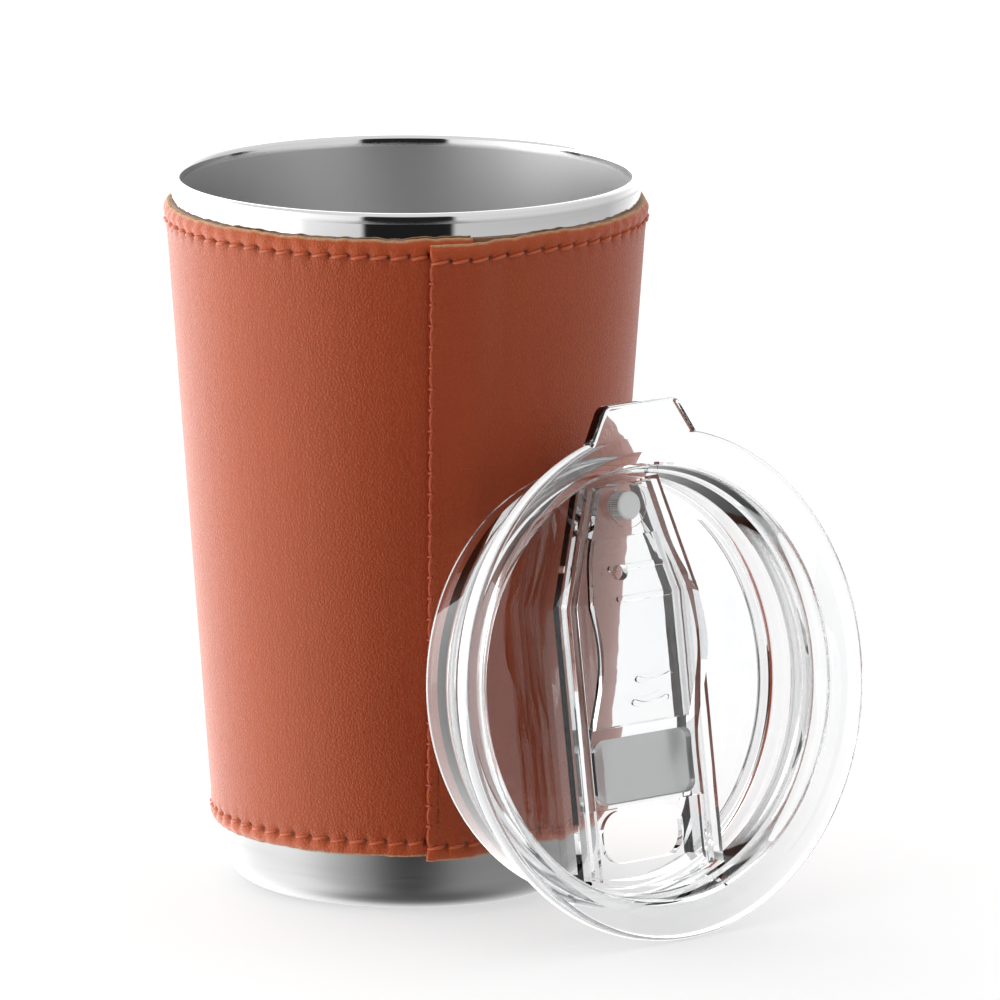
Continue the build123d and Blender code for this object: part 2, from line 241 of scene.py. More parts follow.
def spread(tree, value, low, high):
    """Maps 0..1 to a range: low plus the value times the difference."""
    return maths(tree, "MULTIPLY_ADD", value, high - low, low)


def grey(tree, tone):
    """A grey of that tone."""
    parts = [(part, tone) for part in ("Red", "Green", "Blue")]
    return node(tree, "ShaderNodeCombineColor", parts).outputs[0]


def brushed_steel():
    """Steel with lines brushed round the cup, dull at the foot and bright at the rim; its colour is
    painted grey towards the foot as painted shade.
    """
    made, tree, shader = material("brushed_steel", [("Metallic", 1.0)])
    lines = effect(tree, brushing)
    place = node(tree, "ShaderNodeTexCoord").outputs["Object"]
    place_z = node(tree, "ShaderNodeSeparateXYZ", [(0, place)]).outputs["Z"]
    share = maths(tree, "MULTIPLY", place_z, 1 / (cup_height * MM))
    rim = ramp(tree, share, [(0.3, 0.0), (0.8, 1.0)])
    foot_shade_tone, rim_dullness, line_depth = 0.50, 0.15, 0.00001
    tone = spread(tree, lines["Streak"], 0.55, 0.70)
    # Painted shade: the colour falls to half towards the foot, standing in for dimmer reflections
    # low on the shell.
    tone = maths(tree, "MULTIPLY", tone, spread(tree, rim, foot_shade_tone, 1.0))
    tree.links.new(grey(tree, tone), shader.inputs["Base Color"])
    dull = spread(tree, lines["Height"], 0.32, 0.48)
    dull = maths(tree, "MULTIPLY", dull, spread(tree, rim, 1.0, rim_dullness))
    tree.links.new(dull, shader.inputs["Roughness"])
    scored = maths(tree, "MULTIPLY", lines["Height"], maths(tree, "SUBTRACT", 1.0, rim))
    bumped(tree, shader, scored, line_depth)
    return made


def liner_steel():
    """Satin inside, and polished over the lip, which is told from the rest by its height."""
    made, tree, shader = material("satin_steel", [("Metallic", 1.0)])
    grain = effect(tree, speckle, Grain=2600.0, Cloud=35.0)
    place = node(tree, "ShaderNodeTexCoord").outputs["Object"]
    parts = node(tree, "ShaderNodeSeparateXYZ", [(0, place)]).outputs
    fade, below_top, lip_dullness, grain_depth = 6, 2, 0.15, 0.00002
    above = maths(tree, "MULTIPLY_ADD", parts["Z"], 1 / (fade * MM),
                  -(cup_height - below_top) / fade)
    lip = ramp(tree, above, [(0.0, 0.0), (0.15, 1.0)])
    satin = grey(tree, spread(tree, grain["Cloud"], 0.44, 0.53))
    tree.links.new(blend(tree, lip, satin, (0.78, 0.78, 0.78, 1)), shader.inputs["Base Color"])
    dull = spread(tree, grain["Height"], 0.38, 0.50)
    dull = maths(tree, "MULTIPLY", dull, spread(tree, lip, 1.0, lip_dullness))
    tree.links.new(dull, shader.inputs["Roughness"])
    blasted = maths(tree, "MULTIPLY", grain["Height"], maths(tree, "SUBTRACT", 1.0, lip))
    bumped(tree, shader, blasted, grain_depth, 0.6)
    return made


def plain_material(name, values, low, high, grain=3000.0, depth=0.00001):
    """A finish that only varies a little in tone and grain, for the smaller pieces."""
    made, tree, shader = material(name, values)
    marks = effect(tree, speckle, Grain=grain, Cloud=200.0)
    tree.links.new(blend(tree, marks["Cloud"], low, high), shader.inputs["Base Color"])
    bumped(tree, shader, marks["Height"], depth)
    return made


def tube_mesh(name, grid, closed=False, sharp=58):
    """Mesh of closed tubes. The grid is tubes by stations by points round each section by 3. A
    closed tube joins its last station to its first, and an open one ends in two faces. All are
    turned outwards by the sign of the volume. In a closed tube the points that meet on an axis
    are merged, and the bare edges left along it are taken out."""
    tubes, stations, around = grid.shape[:3]
    same_place, no_length = 1e-7, 1e-8
    index = np.arange(tubes * stations * around).reshape(tubes, stations, around)
    if closed:
        index = np.concatenate([index, index[:, :1]], 1)
    beside = np.roll(index, -1, axis=2)
    quads = np.stack([index[:, :-1], beside[:, :-1], beside[:, 1:], index[:, 1:]], -1)
    quads = quads.reshape(-1, 4)
    ends = np.concatenate([index[:, 0, ::-1], index[:, -1]])
    points = grid.reshape(-1, 3)
    corner = [points[quads[:, k]] for k in range(4)]
    leaned = np.cross(corner[1], corner[2]) + np.cross(corner[2], corner[3])
    if np.sum(corner[0] * leaned) < 0:
        quads, ends = quads[:, ::-1], ends[:, ::-1]
    mesh = bpy.data.meshes.new(name)
    mesh.from_pydata(points, [], quads.tolist() + ([] if closed else ends.tolist()))
    if closed:
        work = bmesh.new()
        work.from_mesh(mesh)
        bmesh.ops.remove_doubles(work, verts=work.verts, dist=same_place)
        bmesh.ops.dissolve_degenerate(work, edges=work.edges, dist=no_length)
        bare = [edge for edge in work.edges if edge.is_wire]
        bmesh.ops.delete(work, geom=bare, context="EDGES")
        work.to_mesh(mesh)
        work.free()
    mesh.shade_smooth()
    mesh.set_sharp_from_angle(angle=math.radians(sharp))
    return mesh


def rounded(outline, rounds, steps=7):
    """Points of a closed outline whose chosen corners are arcs. An arc of radius r touches both
    sides at r times the cotangent of half the corner's angle, and is swept at even angles."""
    corners = np.array(outline, float)
    points = []
    for spot, corner in enumerate(corners):
        radius = rounds.get(spot, 0)
        if not radius:
            points.append(corner[None])
            continue
        before = corners[spot - 1] - corner
        after = corners[(spot + 1) % len(corners)] - corner
        before, after = before / np.linalg.norm(before), after / np.linalg.norm(after)
        half = math.acos(float(np.dot(before, after))) / 2
        bisector = (before + after) / np.linalg.norm(before + after)
        centre = corner + bisector * radius / math.sin(half)
        start = corner + before * radius / math.tan(half) - centre
        end = corner + after * radius / math.tan(half) - centre
        sweep = math.pi - 2 * half
        share = np.linspace(0, 1, steps)[:, None]
        points.append(centre + (np.sin((1 - share) * sweep) * start + np.sin(share * sweep) * end)
                      / math.sin(sweep))
    return np.concatenate(points)


def turned_grid(section, stations=256):
    """Section points of radius and height carried round the axis, as a grid for tube_mesh."""
    angle = np.linspace(0, 2 * math.pi, stations, endpoint=False)[:, None]
    radius, height = section[None, :, 0], section[None, :, 1]
    return np.stack([radius * np.cos(angle), radius * np.sin(angle), height + 0 * angle], -1)


def piece(name, mesh, finish, body):
    """A piece that rides on a body and takes the given finish."""
    made = bpy.data.objects.new(name, mesh)
    bpy.context.scene.collection.objects.link(made)
    mesh.materials.append(finish)
    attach(made, body)
    return made


def dress(name, finish):
    """Gives a CAD node its finish."""
    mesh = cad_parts[name].data
    mesh.materials.clear()
    mesh.materials.append(finish)


rim_radius, foot_radius, cup_height = 41.2, 32.2, 125.3
foot_corner, foot_ring, steel = 6.5, 23.5, 0.6
lip_width, lip_height, lip_round = 1.7, 1.8, 0.8
liner_floor, liner_floor_radius, liner_corner = 8.0, 29.0, 7.0
lip_base, mouth_radius = cup_height - lip_height, rim_radius - lip_width


def steel_radius(height):
    """The shell's cone."""
    return foot_radius + (rim_radius - foot_radius) * height / cup_height


def liner_radius(height):
    """The liner's cone, inside."""
    slope = (mouth_radius - liner_floor_radius) / (cup_height - liner_floor)
    return mouth_radius - slope * (cup_height - height)


shell_section = rounded(
    [(steel_radius(lip_base), lip_base), (foot_radius, 0), (foot_ring, 0), (foot_ring, steel),
     (foot_radius - steel, steel), (steel_radius(lip_base) - steel, lip_base)],
    {1: foot_corner, 4: foot_corner - steel}, 14)
liner_section = rounded(
    [(mouth_radius, cup_height), (rim_radius, cup_height), (rim_radius, lip_base),
     (liner_radius(lip_base) + steel, lip_base),
     (liner_radius(liner_floor - steel) + steel, liner_floor - steel), (0, liner_floor - steel),
     (0, liner_floor), (liner_floor_radius, liner_floor)],
    {0: lip_round, 1: lip_round, 4: liner_corner + steel, 7: liner_corner}, 12)
shell_finish, liner_finish = brushed_steel(), liner_steel()
for name, section, finish, slot, node_name in (
        ("steel_shell", shell_section, shell_finish, "brushed_steel", "outer_shell"),
        ("steel_liner", liner_section, liner_finish, "satin_steel", "inner_cup")):
    mesh = tube_mesh(name, turned_grid(section)[None] * MM, closed=True, sharp=40)
    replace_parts(piece(name, mesh, finish, "cup"), node_name)
# The base disc takes the shell's finish, painted shade included.
dress("vacuum_base", shell_finish)
dress("base_cover", plain_material(
    "cover_steel", [("Metallic", 1.0), ("Roughness", 0.33)],
    (0.5, 0.5, 0.5, 1), (0.62, 0.62, 0.62, 1)))
dress("port_seal", plain_material(
    "port_glass", [("Roughness", 0.2)], (0.10, 0.11, 0.10, 1), (0.2, 0.21, 0.19, 1)))
dress("getter", plain_material(
    "getter_metal", [("Metallic", 0.7), ("Roughness", 0.7)],
    (0.2, 0.2, 0.21, 1), (0.3, 0.3, 0.31, 1)))
dress("heat_foil", plain_material(
    "foil", [("Metallic", 1.0), ("Roughness", 0.12)], (0.8, 0.8, 0.82, 1), (0.9, 0.9, 0.9, 1)))


# Sleeve. One strip of grained orange-brown leather is glued round the cup, and its start lies
# over its end. Both hems are sewn through, which pulls a row of holes in and swells the edge.
sleeve_low, sleeve_high = (corner.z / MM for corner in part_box("sleeve_lining"))
sleeve_depth, leather, lap_gap = 1.3, 0.85, 0.1
seam_azimuth = -32.7
top_inset, bottom_inset, pitch = 3.0, 2.5, 3.5
top_row, bottom_row = sleeve_high - top_inset, sleeve_low + bottom_inset
draws = np.random.default_rng(11)


def stitch_count(row):
    """Whole stitches round a hem: the way round it over the pitch, rounded."""
    return round(2 * math.pi * (steel_radius(row) + sleeve_depth) / pitch)


def step(x):
    """Smooth rise from 0 to 1: three times the square less twice the cube, held outside 0 to 1."""
    x = np.clip(x, 0, 1)
    return x * x * (3 - 2 * x)


def hill(x, middle, width):
    """Bell of height 1: e to the minus square of the distance from the middle over the width."""
    return np.exp(-(((x - middle) / width) ** 2))


def ripple(turn, height, waves):
    """Sum of sine waves round and up the sleeve. Each wave is turns, rise, phase and size."""
    total = np.zeros(np.broadcast(turn, height).shape)
    for turns, rise, phase, size in waves:
        total += size * np.sin(np.radians(turn) * turns + height * rise + phase)
    return total


any_phase, slow_rise, slow_size, edge_size = 6.3, 0.02, 0.05, 0.055
slow_waves = [(n, slow_rise * draws.normal(), draws.uniform(0, any_phase), slow_size / n**0.5)
              for n in range(2, 11)]
edge_waves = [(n, 0.0, draws.uniform(0, any_phase), edge_size) for n in (5, 9, 14, 23, 37, 58, 91)]
lap_flat, lap_slope, calm_height, calm_turn = 10.5, 9.0, 12, 20


def lap_lift(turn):
    """How far the lap is lifted by the end it covers: one thickness and a gap, then down to 0."""
    return (leather + lap_gap) * (1 - step((turn - lap_flat) / lap_slope))


def calm_face(turn, height):
    """The outer face before the stitches draw it in: the cone, the sleeve's depth, the lap's lift
    and the slow waves, which die out at the top hem and at the lap's edge."""
    calm = step((sleeve_high - height) / calm_height) * step(turn / calm_turn)
    waves = ripple(turn, height, slow_waves) * calm
    return steel_radius(height) + sleeve_depth + lap_lift(turn) + waves


hem_middle, hem_width, hem_swell, hem_pucker = 1.5, 1.35, 0.34, 0.16
edge_fall, edge_width = 0.50, 0.60
row_sink, row_pucker, row_width = 0.16, 0.10, 0.5
hole_depth, hole_width = 0.5, 0.42
ridge, ridge_away, ridge_width = 0.07, 1.5, 0.9


def leather_face(turn, height):
    """Outer face radius at a turn in degrees from the lap's edge and a height. It is the cone,
    lifted over the lap, swollen along the hems and drawn in at each row and each hole."""
    face = calm_face(turn, height)
    for row, edge in ((top_row, sleeve_high), (bottom_row, sleeve_low)):
        count = stitch_count(row)
        inside = np.abs(edge - height)
        phase = turn / 360 * count
        pucker = 0.5 + 0.5 * np.cos(2 * math.pi * phase)
        face = face + hill(inside, hem_middle, hem_width) * (hem_swell - hem_pucker * pucker)
        face = face - edge_fall * hill(inside, 0, edge_width)
        face = face - hill(height, row, row_width) * (row_sink + row_pucker * pucker)
        offset = (phase - np.round(phase)) * pitch
        face = face - hole_depth * hill(offset, 0, hole_width) * hill(height, row, hole_width)
        past_row = row + np.sign(row - edge) * ridge_away
        face = face + ridge * hill(height, past_row, ridge_width) * (1 - pucker)
    return face


def from_cylinder(turn, height, radius):
    """Points in metres: radius times the cosine and sine of the turn past the seam, and height."""
    angle = np.radians(turn + seam_azimuth - 90)
    x, y = radius * np.cos(angle), radius * np.sin(angle)
    return np.stack(np.broadcast_arrays(x, y, height), -1) * MM


def leather_group():
    """Grained leather: round pebbles between creases at two sizes, and slow clouds of colour."""
    tree, given, result = group(
        "leather_grain", [("Pebbles", 1500.0)], ["Height", "Crease", "Cloud"])
    place = node(tree, "ShaderNodeTexCoord").outputs["Object"]
    wander, pore_share = 0.0008, 0.45
    warp = node(tree, "ShaderNodeTexNoise", [("Vector", place), ("Scale", 700.0), ("Detail", 2.0)])
    shift = node(tree, "ShaderNodeVectorMath", [(0, warp.outputs["Color"]), (1, (wander,) * 3)],
                 operation="MULTIPLY")
    bent = node(tree, "ShaderNodeVectorMath", [(0, place), (1, shift.outputs[0])], operation="ADD")
    cells = node(tree, "ShaderNodeTexVoronoi",
                 [("Vector", bent.outputs[0]), ("Scale", given["Pebbles"])],
                 feature="DISTANCE_TO_EDGE")
    crease = ramp(tree, cells.outputs["Distance"], [(0.0, 0.0), (0.16, 0.7), (0.4, 1.0)])
    pores = node(tree, "ShaderNodeTexNoise",
                 [("Vector", place), ("Scale", 3600.0), ("Detail", 2.0)])
    total = maths(tree, "MULTIPLY_ADD", pores.outputs["Fac"], pore_share, crease)
    cloud = node(tree, "ShaderNodeTexNoise", [("Vector", place), ("Scale", 38.0), ("Detail", 5.0)])
    tree.links.new(total, result["Height"])
    tree.links.new(crease, result["Crease"])
    tree.links.new(cloud.outputs["Fac"], result["Cloud"])
    return tree


leather_grain = leather_group()


def leather_finish():
    """Orange-brown leather with a warm gloss, painted darker and redder in its creases as painted
    shade, brighter on the swollen hems, painted dark in the needle holes as painted shade, and
    cream where it is cut."""
    made, tree, shader = material("sleeve_leather", [
        ("Specular IOR Level", 0.62), ("Specular Tint", (1.0, 0.74, 0.50, 1)),
        ("Sheen Weight", 0.03), ("Sheen Roughness", 0.4)])
    hem, hole, cut = (node(tree, "ShaderNodeAttribute", attribute_name=name).outputs["Fac"]
                      for name in ("hem", "hole", "cut"))
    crease_shade_share, hem_share, cut_roughness = 0.35, 0.4, 0.4
    grain_depth, grain_strength = 0.00007, 0.85
    grain = effect(tree, leather_grain)
    base = blend(tree, grain["Cloud"], (0.355, 0.044, 0.0105, 1), (0.415, 0.058, 0.014, 1))
    # Painted shade: the creases between the pebbles are painted a darker red.
    crease_shade = maths(tree, "MULTIPLY", maths(tree, "SUBTRACT", 1.0, grain["Crease"]), crease_shade_share)
    base = blend(tree, crease_shade, base, (0.27, 0.028, 0.009, 1))
    base = blend(tree, maths(tree, "MULTIPLY", hem, hem_share), base, (0.54, 0.080, 0.018, 1))
    # Painted shade: the needle holes are painted near black.
    base = blend(tree, hole, base, (0.05, 0.010, 0.006, 1))
    place = node(tree, "ShaderNodeTexCoord").outputs["Object"]
    fibres = node(tree, "ShaderNodeTexNoise", [("Vector", place), ("Scale", 1500.0)])
    cream = blend(tree, fibres.outputs["Fac"], (0.42, 0.20, 0.09, 1), (0.72, 0.50, 0.30, 1))
    tree.links.new(blend(tree, cut, base, cream), shader.inputs["Base Color"])
    rough = spread(tree, grain["Crease"], 0.52, 0.40)
    rough = maths(tree, "MULTIPLY_ADD", cut, cut_roughness, rough)
    tree.links.new(rough, shader.inputs["Roughness"])
    bumped(tree, shader, grain["Height"], grain_depth, grain_strength)
    return made


lap_slip, slip_turns = 0.7, 34
low_wave, high_wave, corner_rise, corner_turn, corner_width = 0.5, 0.9, 0.3, 352, 6


def slipped(turns):
    """How far the strip has slipped down: most at the lap's edge, fading smoothly to nothing."""
    return lap_slip * (1 - step(turns / slip_turns))


def strip_grid(turns, shares):
    """Outer face radius, height and measured height for turns across and shares up the strip.
    The height is a share of the way between two wavy edges, and the measured height is the same
    share of the way between straight ones, which the rows of stitches are set out by."""
    low = sleeve_low - slipped(turns) + low_wave * ripple(turns, 0, edge_waves)
    high = sleeve_high - slipped(turns) + high_wave * ripple(turns, 2, edge_waves)
    high = high + corner_rise * step((turns - corner_turn) / corner_width)
    measured = sleeve_low + (sleeve_high - sleeve_low) * shares
    return leather_face(turns, measured), low + (high - low) * shares, measured + 0 * turns


hem_blur, hole_shade_strength, mark_width, mark_height, mark_rise = 0.8, 1.3, 0.34, 0.42, 0.1


def masks(mesh, turns, measured, cut):
    """Stores what the leather's finish reads at each point: 1 in the hem's band, falling past its
    row; a bell of painted shade over each needle hole; and 1 on a cut edge."""
    hem, hole = np.zeros(measured.shape), np.zeros(measured.shape)
    for row, edge in ((top_row, sleeve_high), (bottom_row, sleeve_low)):
        hem += 1 - step((np.abs(measured - edge) - abs(row - edge) + mark_rise) / hem_blur)
        phase = turns / 360 * stitch_count(row)
        offset = (phase - np.round(phase)) * pitch
        across, up = hill(offset, 0, mark_width), hill(measured, row + mark_rise, mark_height)
        hole += hole_shade_strength * across * up
    for name, values in (("hem", hem), ("hole", hole), ("cut", cut)):
        store = mesh.attributes.new(name, "FLOAT", "POINT")
        store.data.foreach_set("value", np.clip(values, 0, 1).ravel())


leather_look = leather_finish()
fold_turn, end_turn = 2.9, 360 + 10.4
columns, face_rows, back_rows, evenness = 840, 86, 12, 0.34
even = np.linspace(0, 1, face_rows)
face_share = evenness * even + (1 - evenness) * (0.5 - 0.5 * np.cos(math.pi * even))
section_share = np.concatenate([face_share, np.linspace(1, 0, back_rows)])[None, :]
is_back = (np.arange(face_rows + back_rows) >= face_rows)[None, :]
strip_turns = np.linspace(fold_turn, end_turn, columns)[:, None]
strip_face, strip_height, strip_measured = strip_grid(strip_turns, section_share)
back_face = steel_radius(strip_measured) + sleeve_depth - leather + lap_lift(strip_turns)
strip_radius = np.where(is_back, back_face, strip_face)
strip_places = from_cylinder(strip_turns, strip_height, strip_radius)
sleeve_mesh = tube_mesh("sleeve_strip", strip_places[None])
edge_share, unmarked = 0.0005, 60
strip_cut = is_back | (section_share > 1 - edge_share) | (section_share < edge_share)
strip_marked = np.where(is_back, unmarked, strip_measured)
masks(sleeve_mesh, strip_turns, strip_marked, strip_cut + 0 * strip_measured)
sleeve = piece("sleeve_strip", sleeve_mesh, leather_look, "cup")

# The folded edge of the lap is a thin roll with a flat tail that lies under the strip's face.
# The stitches across it draw it back to the right, so that it is scalloped.
fold_rows, fold_radius, tail_length, tail_sink = 420, 0.42, 3.0, 0.10
draw_back, draw_start, draw_length, draw_in, draw_in_length = 0.34, 0.3, 1.6, 0.12, 1.2
seam_pitch = 3.8
seam_low, seam_high = bottom_row + seam_pitch, top_row - seam_pitch
seam_count = round((seam_high - seam_low) / seam_pitch)
tail = np.linspace(tail_length, fold_radius, 9)[:-1]
bend = np.linspace(math.pi / 2, -math.pi / 2, 11)
along = np.concatenate([tail, fold_radius * (1 - np.cos(bend)), tail[::-1]])[None, :]
tail_dip = np.where(tail > 0.73 * tail_length, tail_sink, 0)
sunk = np.concatenate([tail_dip, fold_radius * (1 - np.sin(bend)),
                       2 * fold_radius + 0 * tail])[None, :]
fold_share = np.linspace(0, 1, fold_rows)[:, None]
seam_height = sleeve_low + (sleeve_high - sleeve_low) * fold_share
seam_phase = (seam_height - seam_low) / (seam_high - seam_low) * seam_count
between = np.abs(np.sin(math.pi * seam_phase)) ** 0.8
drawn = draw_back * (1 - between) * (1 - step((along - draw_start) / draw_length))
turn_per_mm = 180 / math.pi / (steel_radius(seam_height) + sleeve_depth)
fold_turns = (along + drawn) * turn_per_mm
fold_face, fold_height, fold_measured = strip_grid(fold_turns, fold_share)
fold_radii = fold_face - sunk - draw_in * (1 - between) * (1 - step(along / draw_in_length))
fold_mesh = tube_mesh("lap_fold", from_cylinder(fold_turns, fold_height, fold_radii)[None])
fold_ends = (fold_share < edge_share) | (fold_share > 1 - edge_share)
fold_cut = np.where(fold_ends, 1.0, 0.0) + 0 * fold_turns
masks(fold_mesh, fold_turns, fold_measured, fold_cut)
fold = piece("lap_fold", fold_mesh, leather_look, "cup")
for leather_piece in (sleeve, fold):
    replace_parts(leather_piece, "leather_sleeve")


# Hem stitches. Each hem is sewn with one waxed orange thread, which dives into a hole at each
# end of a stitch and slants a little, so that the row looks like a cord with dark gaps.
def thread_tubes(name, path, radius, sides=7):
    """Tubes round paths, given as stitches by points by 3, with a radius at each point. A ring
    is the cosine of its angle sideways and the sine of it outwards, both square to the path."""
    ahead = np.gradient(path, axis=1)
    out = path * (1, 1, 0)
    across = np.cross(ahead, out)
    across /= np.linalg.norm(across, axis=-1, keepdims=True)
    up = np.cross(across, ahead)
    up /= np.linalg.norm(up, axis=-1, keepdims=True)
    around = np.linspace(0, 2 * math.pi, sides, endpoint=False)[:, None]
    ring = np.cos(around) * across[:, :, None] + np.sin(around) * up[:, :, None]
    return tube_mesh(name, path[:, :, None] + ring * radius[:, :, None, None])


def thread_finish(name, low, high):
    """Waxed thread, mottled by its twist."""
    made, tree, shader = material(name, [("Roughness", 0.5), ("Sheen Weight", 0.1)])
    grain = effect(tree, speckle, Grain=5200.0, Cloud=900.0)
    tree.links.new(blend(tree, grain["Cloud"], low, high), shader.inputs["Base Color"])
    bumped(tree, shader, grain["Height"], 0.00008, 0.7)
    return made


thread_look = thread_finish("hem_thread", (0.48, 0.075, 0.018, 1), (0.62, 0.125, 0.036, 1))
thread_radius, thinnest, unevenness, stitch_points = 0.30, 0.55, 0.1, 9
first_hole, stitch_share, start_below, slant, scatter = 0.08, 0.86, 0.30, 0.56, 0.05
bed_sink, arch_height, dive = 0.14, 0.32, 0.42
rise = np.linspace(0, 1, stitch_points)[None, :]
arch = np.sin(math.pi * rise) ** 0.55
for name, node_name, row in (("top_thread", "top_stitching", top_row),
                             ("bottom_thread", "bottom_stitching", bottom_row)):
    count = stitch_count(row)
    turns = (np.arange(count)[:, None] + first_hole + stitch_share * rise) / count * 360
    heights = row - start_below + slant * rise + draws.normal(0, scatter, (count, 1))
    lay = calm_face(turns, heights) - bed_sink + arch_height * arch - dive * (1 - arch)
    path = from_cylinder(turns, heights - slipped(turns), lay)
    radius = thread_radius * MM * (thinnest + (1 - thinnest) * arch)
    radius = radius * (1 + unevenness * draws.normal(size=(count, 1)))
    thread = piece(name, thread_tubes(name, path, radius), thread_look, "cup")
    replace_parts(thread, node_name)

# Seam stitches. The same thread goes round the lap's folded edge every few millimetres, and
# shows only as a small nub on it.
nub_bend, nub_tilt, nub_in, nub_sink, nub_thickness = 0.62, 0.12, 0.30, 0.1, 0.24
nubs = np.arange(seam_count + 1)[:, None]
bow = np.linspace(-1.25, 1.45, 9)[None, :]
nub_heights = seam_low + (seam_high - seam_low) * nubs / seam_count + nub_tilt * bow
nub_turn_per_mm = 180 / math.pi / (steel_radius(nub_heights) + sleeve_depth)
nub_turns = (fold_radius + nub_in - nub_bend * np.cos(bow)) * nub_turn_per_mm
nub_centre = calm_face(nub_turns, nub_heights) - fold_radius - nub_sink
nub_path = from_cylinder(nub_turns, nub_heights - lap_slip, nub_centre + nub_bend * np.sin(bow))
nub_radius = nub_thickness * MM * (1 + 0 * nub_path[:, :, 0])
seam_mesh = thread_tubes("seam_thread", nub_path, nub_radius, 6)
seam_look = thread_finish("seam_thread", (0.34, 0.045, 0.016, 1), (0.46, 0.075, 0.028, 1))
seam_thread = piece("seam_thread", seam_mesh, seam_look, "cup")
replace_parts(seam_thread, "seam_stitching")

# Lining. The leather's backing is a thin layer of tan felt. It is glued to the steel, and its
# raw edge shows as a fuzzy line above the leather.
dress("sleeve_lining", plain_material(
    "felt_lining", [("Roughness", 0.95), ("Sheen Weight", 0.4)], (0.22, 0.08, 0.04, 1),
    (0.42, 0.22, 0.12, 1), 2200.0, 0.00006))


# Lid. The body is one moulding of clear copolyester, with a flange and tab, a plug, a sunken well
# and a bridge across it. It is turned as a ring section, joined to the tab and bridge, and cut.
def clear_finish(name, tint, roughness, wave):
    """Clear moulding: plain transmission, slow waves in its faces and a faint tint."""
    made, tree, shader = material(name, [("Transmission Weight", 1.0), ("IOR", 1.5)])
    flow = effect(tree, speckle, Grain=90.0, Cloud=160.0)
    cast = blend(tree, flow["Cloud"], tint, (0.985, 0.985, 0.985, 1))
    tree.links.new(cast, shader.inputs["Base Color"])
    haze = spread(tree, flow["Cloud"], roughness * 0.6, roughness * 1.4)
    tree.links.new(haze, shader.inputs["Roughness"])
    bumped(tree, shader, flow["Height"], wave)
    return made


lean, lean_side, lid_out, lid_up = math.radians(8.6), 6.4, 61.724, 43.736
flange_overhang, flange_thickness, flange_edge, flange_face = 3.1, 3.0, 1.2, 4.0
plug_depth, plug_root_clearance, plug_tip_clearance = 17.0, 0.8, 0.45
flange_radius, plug_root = rim_radius + flange_overhang, mouth_radius - plug_root_clearance
plug_tip = liner_radius(cup_height - plug_depth) - plug_tip_clearance
gasket_middle, gasket_height, fin, groove_depth, groove_gap = -6.4, 3.9, 0.9, 1.0, 0.1
skirt_wall, well_floor, well_floor_wall = 1.7, -12.4, 1.8
well_wall, well_draft, well_flare = 0.95, 0.5, 1.35
well_mouth, well_step, well_corner, small_round = 0.5, -4.3, 1.6, 0.6


def plug_radius(height):
    """The plug's cone: its root's radius at the seat plane, falling evenly to its tip's."""
    return plug_root + (plug_root - plug_tip) * height / plug_depth


def leaning(points):
    """The lid's own frame to the cup's: turned about X to stand on edge less its lean, moved
    aside, out and up, and made metres."""
    x, y, z = np.moveaxis(np.asarray(points, float), -1, 0)
    tilt = math.pi / 2 - lean
    turned = [x + lean_side, y * math.cos(tilt) - z * math.sin(tilt) - lid_out,
              y * math.sin(tilt) + z * math.cos(tilt) + lid_up]
    return np.stack(turned, -1) * MM


groove_radius = plug_radius(gasket_middle) - groove_depth
groove_half = gasket_height / 2 + groove_gap
step_radius = groove_radius - well_wall
floor_radius = step_radius - well_draft
floor_under = well_floor - well_floor_wall
lid_section = rounded(
    [(flange_radius, flange_thickness), (flange_radius - flange_face, flange_thickness),
     (step_radius + well_flare, well_mouth), (step_radius, well_step), (floor_radius, well_floor),
     (0, well_floor), (0, floor_under), (plug_tip - skirt_wall, floor_under),
     (plug_tip - skirt_wall, -plug_depth), (plug_tip, -plug_depth),
     (plug_radius(gasket_middle - groove_half), gasket_middle - groove_half),
     (groove_radius, gasket_middle - groove_half), (groove_radius, gasket_middle + groove_half),
     (plug_radius(gasket_middle + groove_half), gasket_middle + groove_half),
     (plug_root, 0), (flange_radius, 0)],
    {0: flange_edge, 1: small_round, 2: small_round, 4: well_corner, 9: small_round,
     15: flange_edge})

bridge_half, bridge_end, taper, bridge_wall, bridge_top = 14.7, 7.9, 21.2, 1.4, -4.6
rail_lip_height, rail_lip_reach, deck, deck_thickness = 1.3, 1.0, -7.6, 1.6
rail_under, lip_inset = bridge_top - rail_lip_height, bridge_wall + rail_lip_reach
deck_under, bridge_foot = deck - deck_thickness, floor_under + 0.2
well_reach, channel_reach, hollow_reach = step_radius + 0.4, floor_radius - 0.5, floor_radius - 1.5
spout_width, spout_length, spout_round, spout_to_wall = 17.8, 9.2, 4.0, 9.5
spout_place = spout_to_wall - floor_radius
pad_cover, open_gap, nose_gap, peg_to_nose, vent_radius = 1.15, 1.5, 0.8, 3.6, 1.4
slide_travel = spout_length + pad_cover + open_gap
vent_place = channel_reach - nose_gap - peg_to_nose - slide_travel
tab_half, tab_reach, tab_inset, tab_flare, tab_round, tab_rim = 8.0, 4.7, 2.2, 4.0, 2.2, 0.7
tab_tip, tab_root = flange_radius + tab_reach, flange_radius - tab_inset
past, overlap, skin = 1, 0.3, 0.001


def prism(outline, low, high):
    """Grid of an outline seen from above, carried straight from one height to another."""
    outline = np.asarray(outline, float)
    flat = [np.column_stack([outline, np.full(len(outline), z)]) for z in (low, high)]
    return np.stack(flat)


def bridge_plan(inset):
    """The bridge from above, drawn in by an inset: straight, then tapering to its nose."""
    slope = (bridge_half - bridge_end) / taper
    start, wide = floor_radius - taper, bridge_half - inset
    narrow = wide - slope * (well_reach - start)
    return [(wide, -well_reach), (wide, start), (narrow, well_reach),
            (-narrow, well_reach), (-wide, start), (-wide, -well_reach)]


